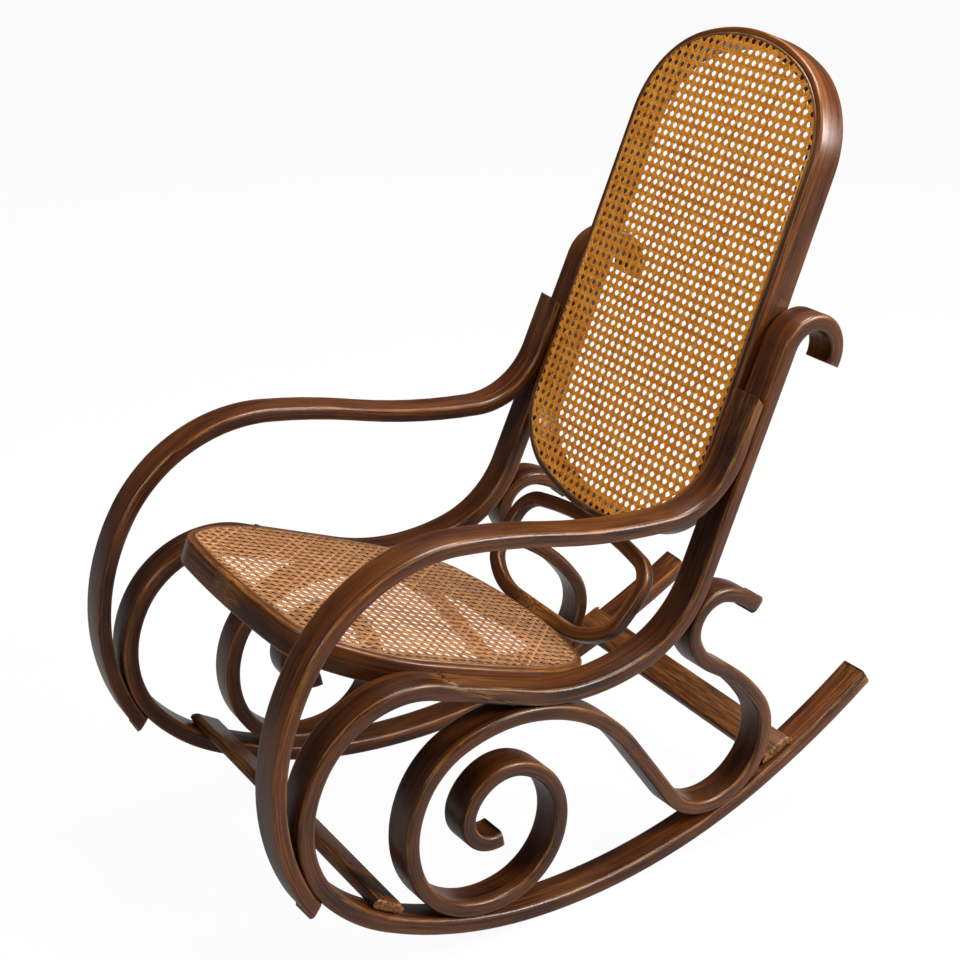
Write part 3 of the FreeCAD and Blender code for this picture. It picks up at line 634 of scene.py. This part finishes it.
def make_cane_finish(name, stops):
    """Return aged, glossy cane: each strand has its own tone, with darker stretches. The stops given
    carry painted shade for the seat's panel and painted light for the back's.
    """
    material, graph, shader = new_finish(name)
    grain = attribute(graph, "grain", "Vector")
    own = graph.add("ShaderNodeTexWhiteNoise", {"W": Field(graph, attribute(graph, "strand", "Fac"))},
                    noise_dimensions="1D")
    own = Field(graph, own.outputs[0])
    along = noise(graph, stretched(graph, grain, (0.02, 0.5, 0.73)), 4.0, 0.6)
    lines = noise(graph, stretched(graph, grain, (0.05, 5.0, 0.73)), 3.0, 0.6)
    tone = own * 0.30 + along * 0.45 + lines * 0.25
    colour = ramp(graph, tone, stops)
    graph.feed(shader.inputs["Base Color"], colour)
    graph.feed(shader.inputs["Roughness"], along * 0.22 + 0.22)
    shader.inputs["Specular IOR Level"].default_value = 0.35
    emboss(graph, shader, lines, 0.3, 0.0002)
    return material


def make_spline_finish():
    """Return the reed of the splines, darkened by the varnish, with fine lines and stains."""
    material, graph, shader = new_finish("cane spline")
    grain = attribute(graph, "grain", "Vector")
    lines = noise(graph, stretched(graph, grain, (0.02, 1.6, 1.6)), 4.0, 0.6)
    stains = noise(graph, stretched(graph, grain, (0.05, 0.3, 0.3)), 3.0)
    colour = ramp(graph, lines * 0.5 + stains * 0.5, reed_tones)
    graph.feed(shader.inputs["Base Color"], colour)
    graph.feed(shader.inputs["Roughness"], stains * 0.2 + 0.25)
    emboss(graph, shader, lines, 0.3, 0.0002)
    return material


def make_screw_finish():
    """Return dulled steel with brown tarnish in patches."""
    material, graph, shader = new_finish("screw steel")
    place = graph.add("ShaderNodeTexCoord").outputs["Object"]
    patches = noise(graph, stretched(graph, place, (260.0, 260.0, 260.0)), 4.0)
    colour = ramp(graph, patches, steel_tones)
    graph.feed(shader.inputs["Base Color"], colour)
    graph.feed(shader.inputs["Metallic"], patches * 0.4 + 0.55)
    graph.feed(shader.inputs["Roughness"], patches * -0.3 + 0.6)
    return material


# Pieces.


def set_inputs(modifier, values):
    """Set a geometry modifier's inputs by their names."""
    for item in modifier.node_group.interface.items_tree:
        if item.item_type == "SOCKET" and item.in_out == "INPUT" and item.name in values:
            modifier[item.identifier] = values[item.name]


def grown(name, mesh, tree, values, material, place):
    """Return a plain mesh piece grown from a seed mesh by a tree and set in its place."""
    seed = bpy.data.objects.new(name + "_seed", mesh)
    bpy.context.collection.objects.link(seed)
    modifier = seed.modifiers.new("shape", "NODES")
    modifier.node_group = tree
    set_inputs(modifier, dict(values, Material=material))
    evaluated = seed.evaluated_get(bpy.context.evaluated_depsgraph_get())
    shape = bpy.data.meshes.new_from_object(evaluated)
    bpy.data.objects.remove(seed)
    shape.transform(place)
    if place.determinant() < 0.0:
        shape.flip_normals()
    shape.set_sharp_from_angle(angle=math.radians(crease_angle))
    piece = bpy.data.objects.new(name, shape)
    bpy.context.collection.objects.link(piece)
    return piece


def hand_over(piece, nodes):
    """Ride a piece on the chair in the place of its CAD nodes."""
    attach(piece, "root")
    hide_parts(*nodes)


def path_mesh(points, closed):
    """Return a seed mesh whose edges follow flat points."""
    mesh = bpy.data.meshes.new("path")
    count = len(points)
    edges = [(index, (index + 1) % count) for index in range(count if closed else count - 1)]
    mesh.from_pydata([(u, v, 0.0) for u, v in points], edges, [])
    return mesh


def wall_mesh(points):
    """Return a seed mesh of the upright walls round a panel."""
    mesh = bpy.data.meshes.new("walls")
    count = len(points)
    low = [(u, v, -wall_reach) for u, v in points]
    high = [(u, v, wall_reach) for u, v in points]
    faces = [(i, (i + 1) % count, count + (i + 1) % count, count + i) for i in range(count)]
    mesh.from_pydata(low + high, [], faces)
    return mesh


def end_points(stations, reach):
    """Return a path's points with close rows where its ends are rounded."""
    points = [Vector(station[:2]) for station in stations]
    for _ in range(2):
        rows = [points[0]]
        for share in end_rows:
            left = reach * share
            index = 0
            while (points[index + 1] - points[index]).length < left:
                left -= (points[index + 1] - points[index]).length
                index += 1
            rows.append(points[index] + (points[index + 1] - points[index]).normalized() * left)
        points = (rows + points[index + 1:])[::-1]
    return [tuple(point) for point in points]


def path_length(stations):
    """Return the length of a path."""
    return sum(math.dist(a[:2], b[:2]) for a, b in zip(stations, stations[1:]))


def lath_values(section, ends_round, slants, grain_start):
    """Return a bent lath's inputs from its section, given as (thickness, width, edge round)."""
    thickness, width, edges_round = section
    return {"Thickness": thickness, "Width": width, "Edge round": edges_round,
            "End round": ends_round, "Start slant": slants[0], "End slant": slants[1],
            "Grain start": grain_start}


def make_laths(tree, material):
    """Make both sides' posts, rockers, armrests and scrolls."""
    scarf = walk(hook_end, post_bends)
    laths = {
        "side_post": (scarf, frame_thickness, (0.0, scarf_half_length), 0.0),
        "rocker": (walk(scarf[-1], rocker_bends), frame_thickness, (scarf_half_length, 0.0),
                   path_length(scarf)),
        "arm": (walk(arm_tip, arm_bends), arm_thickness, (arm_tip_slant, arm_top_slant), arm_grain),
        "scroll": (walk(scroll_tip, scroll_bends), scroll_thickness, (0.0, 0.0), scroll_grain)}
    for name, (stations, thickness, slants, grain_start) in laths.items():
        for side, turn, other in (("left", Matrix(), 0.0), ("right", mirror, other_side_grain)):
            values = lath_values((thickness, lath_width, lath_round), end_round, slants,
                                 grain_start + other)
            mesh = path_mesh(end_points(stations, end_round), False)
            place = stand @ turn @ side_place()
            piece = grown(f"{name}_lath_{side}", mesh, tree, values, material, place)
            hand_over(piece, [f"{name}_{side}"])


def make_ring(tree, material, name, outline, section, place, node):
    """Make a closed ring in an outline of (start, bends, inset), with its own grain start."""
    start, bends, inset = outline
    thickness, height, _ = section
    points = closed_outline(start, bends, inset + thickness / 2.0)
    values = lath_values(section, 0.0, (0.0, 0.0), ring_grain + thickness * height)
    piece = grown(name, path_mesh(points, True), tree, values, material, place)
    hand_over(piece, [node])


def make_cane(tree, material, name, start, bends, pitch, place, node):
    """Make one woven panel inside a half outline, its edge under the spline."""
    points = closed_outline(start, bends, spline_inset + spline_width / 2.0)
    middle = (min(v for _, v in points) + max(v for _, v in points)) / 2.0
    points = [(u, v - middle) for u, v in points]
    columns = 2 * math.ceil(max(u for u, _ in points) / pitch)
    rows = 2 * math.ceil(max(v for _, v in points) / pitch)
    values = {"Pitch": pitch, "Columns": float(columns), "Rows": float(rows),
              "Pair spacing": pair_spacing, "Pair rise": pair_rise, "Diagonal rise": diagonal_rise,
              "Strand width": strand_width, "Strand thickness": strand_thickness}
    place = place @ Matrix.Translation((0, middle, 0))
    piece = grown(name, wall_mesh(points), tree, values, material, place)
    hand_over(piece, [node])


def make_stretchers(tree, material):
    """Make both stretchers where the frame holds them."""
    for name, (width, height, slope) in stretcher_sizes.items():
        low, high = (Vector(corner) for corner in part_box(name))
        half = (high.x - low.x) * 500.0
        centre = (low + high) / 2.0
        turn = Matrix.Rotation(math.radians(slope - recline_angle), 4, "X")
        place = Matrix.Translation(centre) @ turn @ Matrix.Scale(0.001, 4)
        values = lath_values((width, height, stretcher_round), stretcher_round, (0.0, 0.0),
                             ring_grain + slope * height)
        stations = [(-half, 0.0, 0.0), (half, 0.0, 0.0)]
        mesh = path_mesh(end_points(stations, stretcher_round), False)
        piece = grown(name + "_board", mesh, tree, values, material, place)
        hand_over(piece, [name])


def make_chair():
    """Make every piece that shows, and dress the screws."""
    lath_tree = make_lath_tree()
    cane_tree = make_cane_tree()
    wood = make_wood_finish()
    # One cane in two finishes: the seat's panel in painted shade, the back's in painted light.
    seat_cane = make_cane_finish("seat cane in painted shade", seat_cane_painted_shade_tones)
    back_cane = make_cane_finish("back cane in painted light", back_cane_painted_light_tones)
    reed = make_spline_finish()
    steel = make_screw_finish()
    make_laths(lath_tree, wood)
    make_stretchers(lath_tree, wood)

    seat_start = (0.0, seat_front_y, 0.0)
    back_start = (0.0, back_bottom_z, 0.0)
    seat_middle = stand @ ring_place("seat", seat_top_z - seat_ring_height / 2.0)
    back_middle = stand @ ring_place("back", back_front_y + back_ring_depth / 2.0)
    make_ring(lath_tree, wood, "seat_hoop", (seat_start, seat_bends, 0.0),
              (seat_ring_thickness, seat_ring_height, ring_round), seat_middle, "seat_ring")
    make_ring(lath_tree, wood, "back_hoop_frame", (back_start, back_bends, 0.0),
              (back_ring_thickness, back_ring_depth, ring_round), back_middle, "back_ring")
    lean = Matrix.Rotation(math.radians(-hoop_lean_angle), 4, "X")
    hoop_place = Matrix.Translation((0, hoop_bottom_y, hoop_bottom_z)) @ lean
    hoop_place = stand @ hoop_place @ ring_place("back", hoop_depth / 2.0)
    make_ring(lath_tree, wood, "brace_hoop", ((0.0, 0.0, 0.0), hoop_bends, 0.0),
              (hoop_thickness, hoop_depth, ring_round), hoop_place, "back_hoop")

    spline_level = spline_proud - spline_height / 2.0
    seat_face = stand @ ring_place("seat", seat_top_z + spline_level)
    back_face = stand @ ring_place("back", back_front_y - spline_level)
    reed_section = (spline_width, spline_height, spline_round)
    make_ring(lath_tree, reed, "seat_reed", (seat_start, seat_bends, spline_inset), reed_section,
              seat_face, "seat_spline")
    make_ring(lath_tree, reed, "back_reed", (back_start, back_bends, spline_inset), reed_section,
              back_face, "back_spline")
    make_cane(cane_tree, seat_cane, "seat_webbing", seat_start, seat_bends, seat_pitch,
              stand @ ring_place("seat", seat_top_z + cane_lift), "seat_cane")
    make_cane(cane_tree, back_cane, "back_webbing", back_start, back_bends, back_pitch,
              stand @ ring_place("back", back_front_y - cane_lift), "back_cane")
    for name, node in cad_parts.items():
        if "screw" in name:
            node.data.materials.clear()
            node.data.materials.append(steel)


# Studio.


def make_floor():
    """Make the plain floor: grey to the lamps, near white to the camera, with a faint shadow."""
    mesh = bpy.data.meshes.new("floor")
    reach = floor_reach
    corners = [(-reach, -reach, 0.0), (reach, -reach, 0.0), (reach, reach, 0.0), (-reach, reach, 0.0)]
    mesh.from_pydata(corners, [], [(0, 1, 2, 3)])
    floor = bpy.data.objects.new("floor", mesh)
    bpy.context.collection.objects.link(floor)
    material, graph, shader = new_finish("pale floor")
    shader.inputs["Base Color"].default_value = (floor_grey, floor_grey, floor_grey, 1.0)
    shader.inputs["Roughness"].default_value = floor_roughness
    shader.inputs["Specular IOR Level"].default_value = 0.0
    glow = graph.add("ShaderNodeEmission", {"Color": (1.0, 1.0, 1.0, 1.0), "Strength": floor_white})
    rays = graph.add("ShaderNodeLightPath")
    seen = graph.number("MAXIMUM", rays.outputs["Is Camera Ray"], rays.outputs["Is Transmission Ray"])
    mirrored = Field(graph, rays.outputs["Is Glossy Ray"]) * floor_mirrored_share
    seen = graph.number("MAXIMUM", seen, mirrored) * floor_seen_share
    both = graph.add("ShaderNodeMixShader", {0: seen, 1: shader.outputs[0], 2: glow.outputs[0]})
    exit_node = material.node_tree.nodes["Material Output"]
    graph.feed(exit_node.inputs["Surface"], both.outputs[0])
    mesh.materials.append(material)


def make_lamp(name, place, width, height, power):
    """Make one soft lamp that looks at the middle of the chair."""
    data = bpy.data.lights.new(name, "AREA")
    data.shape = "RECTANGLE"
    data.size = width
    data.size_y = height
    data.energy = power
    lamp = bpy.data.objects.new(name, data)
    bpy.context.collection.objects.link(lamp)
    lamp.location = place
    lamp.rotation_euler = (Vector(lamp_target) - Vector(place)).to_track_quat("-Z", "Y").to_euler()


def make_studio():
    """Make the floor, the lamps and the sky, which is near white to the camera alone."""
    make_floor()
    for lamp in lamps:
        make_lamp(*lamp)
    world = bpy.data.worlds.new("studio")
    bpy.context.scene.world = world
    world.use_nodes = True
    graph = Graph(world.node_tree)
    sky = world.node_tree.nodes["Background"]
    sky.inputs["Color"].default_value = (1.0, 1.0, 1.0, 1.0)
    camera_ray = Field(graph, graph.add("ShaderNodeLightPath").outputs["Is Camera Ray"])
    graph.feed(sky.inputs["Strength"], camera_ray * sky_seen_light + sky_light)


def make_camera():
    """Make the camera at the photograph's place."""
    data = bpy.data.cameras.new("camera")
    data.lens = camera_lens
    data.sensor_width = camera_sensor
    data.clip_start = camera_near
    data.clip_end = camera_far
    camera = bpy.data.objects.new("camera", data)
    bpy.context.collection.objects.link(camera)
    forward = camera_forward.normalized()
    right = (camera_right - forward * camera_right.dot(forward)).normalized()
    up = right.cross(forward)
    turn = Matrix((right, up, -forward)).transposed().to_4x4()
    camera.matrix_world = Matrix.Translation(stand @ camera_place) @ lean_back @ turn
    bpy.context.scene.camera = camera


make_chair()
make_studio()
make_camera()
bpy.context.scene.view_settings.view_transform = "Standard"
